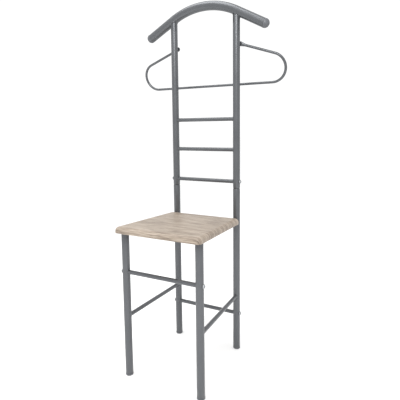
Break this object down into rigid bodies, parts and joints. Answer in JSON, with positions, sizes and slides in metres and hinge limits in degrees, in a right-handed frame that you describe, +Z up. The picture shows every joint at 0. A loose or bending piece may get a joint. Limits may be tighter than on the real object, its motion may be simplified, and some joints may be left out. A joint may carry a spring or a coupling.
{
  "type": "valet stand",
  "caption": "Steel tube valet stand with a wood-finish seat board, a bent shoulder arch for a jacket and a wire loop behind it for trousers.",
  "frame": {"origin": "on the floor, under the middle of the stand's outer box", "axes": "+Z up, -Y the front of the seat, +X the right of a person who looks at the front"},
  "size_m": [0.508, 0.358, 1.108],
  "materials": {
    "frame_paint": "silver-grey powder coat, satin",
    "wire_paint": "silver-grey powder coat, satin",
    "board": "light oak foil on fibreboard, matt",
    "plastic": "moulded, satin",
    "fasteners": "zinc plated"
  },
  "bodies": {
    "root": {"front_rail": "frame_paint", "rear_rail": "frame_paint", "lower_rung": "frame_paint", "middle_rung": "frame_paint", "upper_rung": "frame_paint", "shoulder_arch": "frame_paint", "front_leg_left": "frame_paint", "rear_leg_left": "frame_paint", "side_rail_left": "frame_paint", "upright_left": "frame_paint", "seat_bearer_left": "frame_paint", "front_leg_right": "frame_paint", "rear_leg_right": "frame_paint", "side_rail_right": "frame_paint", "upright_right": "frame_paint", "seat_bearer_right": "frame_paint", "hanger_wire": "wire_paint", "seat_board": "board", "foot_cap_front_left": "plastic", "foot_cap_rear_left": "plastic", "arch_cap_left": "plastic", "hanger_screw_left": "fasteners", "seat_screw_front_left": "fasteners", "seat_screw_rear_left": "fasteners", "front_rail_bolt_left": "fasteners", "front_rail_insert_left": "fasteners", "rear_rail_bolt_left": "fasteners", "rear_rail_insert_left": "fasteners", "lower_rung_bolt_left": "fasteners", "lower_rung_insert_left": "fasteners", "foot_cap_front_right": "plastic", "foot_cap_rear_right": "plastic", "arch_cap_right": "plastic", "hanger_screw_right": "fasteners", "seat_screw_front_right": "fasteners", "seat_screw_rear_right": "fasteners", "front_rail_bolt_right": "fasteners", "front_rail_insert_right": "fasteners", "rear_rail_bolt_right": "fasteners", "rear_rail_insert_right": "fasteners", "lower_rung_bolt_right": "fasteners", "lower_rung_insert_right": "fasteners"}
  },
  "joints": []
}
